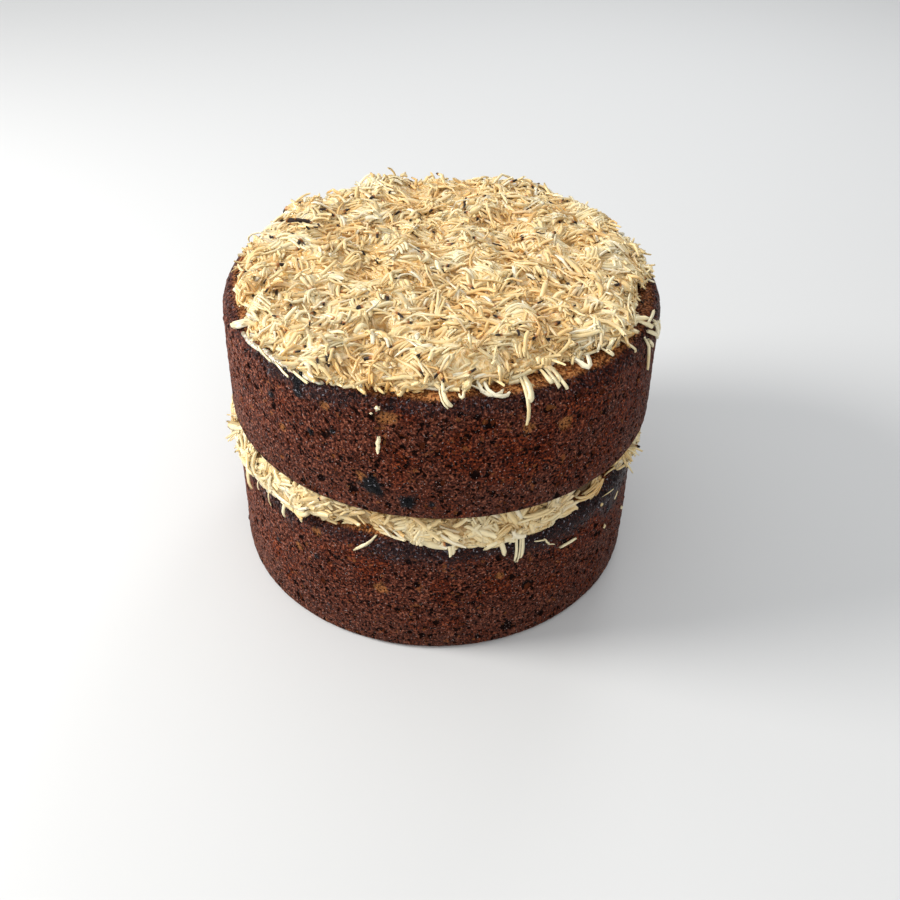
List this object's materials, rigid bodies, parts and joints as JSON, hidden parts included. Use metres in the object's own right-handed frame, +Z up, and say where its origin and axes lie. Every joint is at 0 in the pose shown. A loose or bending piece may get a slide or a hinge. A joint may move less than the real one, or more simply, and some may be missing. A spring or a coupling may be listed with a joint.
{
  "type": "date cake",
  "caption": "Round two-layer dark date cake with toasted shredded coconut between the layers and heaped on top.",
  "frame": {"origin": "middle of the flat base of the lower layer, where the cake rests", "axes": "+Z up through the layers, -Y towards the side that the picture shows, +X to its right"},
  "size_m": [0.155, 0.1524, 0.1165],
  "materials": {
    "crust": "baked dark brown crust, fine-pored, matte with a slight sheen",
    "filling": "shredded coconut in a thin creamy glaze, soft sheen",
    "topping": "toasted shredded coconut in a thin creamy glaze, soft sheen"
  },
  "bodies": {
    "root": {"lower_layer": "crust", "coconut_filling": "filling", "upper_layer": "crust", "coconut_topping": "topping"}
  },
  "joints": []
}
